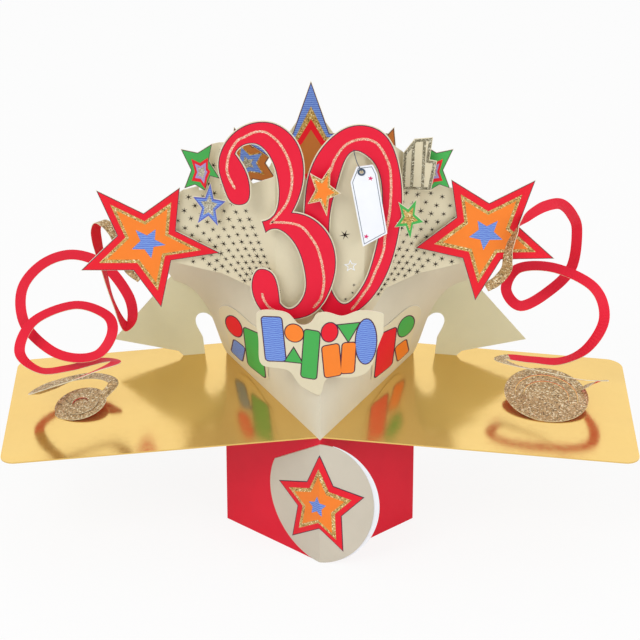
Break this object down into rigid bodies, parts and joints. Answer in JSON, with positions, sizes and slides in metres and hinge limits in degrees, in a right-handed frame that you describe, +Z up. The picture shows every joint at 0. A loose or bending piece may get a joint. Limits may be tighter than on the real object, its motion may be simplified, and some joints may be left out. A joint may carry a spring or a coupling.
{
  "type": "pop-up greeting card",
  "caption": "Standing three-dimensional pop-up card: folded square plinth, drooping foil board, V-shaped wall, layered numerals, stars, tag and paper spirals.",
  "frame": {"origin": "middle of the bounding box's base, level with the lower edges that the card stands on", "axes": "+X to the reader's right, along the foil board; +Y away from the reader; +Z up"},
  "size_m": [0.352, 0.126, 0.258],
  "materials": {
    "crimson_card": "matte, printed",
    "gold_foil_card": "mirror foil, glossy",
    "printed_card": "satin, printed",
    "white_card": "matte",
    "cream_card": "matte with a pearl sheen",
    "glitter_card": "glittered",
    "foam": "matte foam",
    "crimson_paper": "satin one side, glittered the other"
  },
  "bodies": {
    "root": {"plinth": "crimson_card", "foil_board": "gold_foil_card", "seal": "printed_card", "seal_backing": "white_card", "bowl_wall": "cream_card", "band_end_left": "printed_card", "band_end_right": "printed_card", "band_middle": "printed_card", "side_flange_left": "cream_card", "side_flange_right": "cream_card", "backdrop": "cream_card", "numeral_three": "crimson_card", "numeral_zero": "crimson_card", "gift_tag": "white_card", "glitter_plate": "glitter_card", "rear_support": "cream_card", "foam_pads": "foam", "spiral_left": "crimson_paper", "spiral_right": "crimson_paper", "big_star_left": "crimson_card", "big_star_right": "crimson_card", "orange_star": "printed_card", "blue_star": "printed_card", "green_star_right": "printed_card", "leaf_star_left": "printed_card", "leaf_star_right": "printed_card", "rear_star_left": "printed_card", "rear_star_right": "printed_card", "crown_star": "printed_card"}
  },
  "joints": []
}
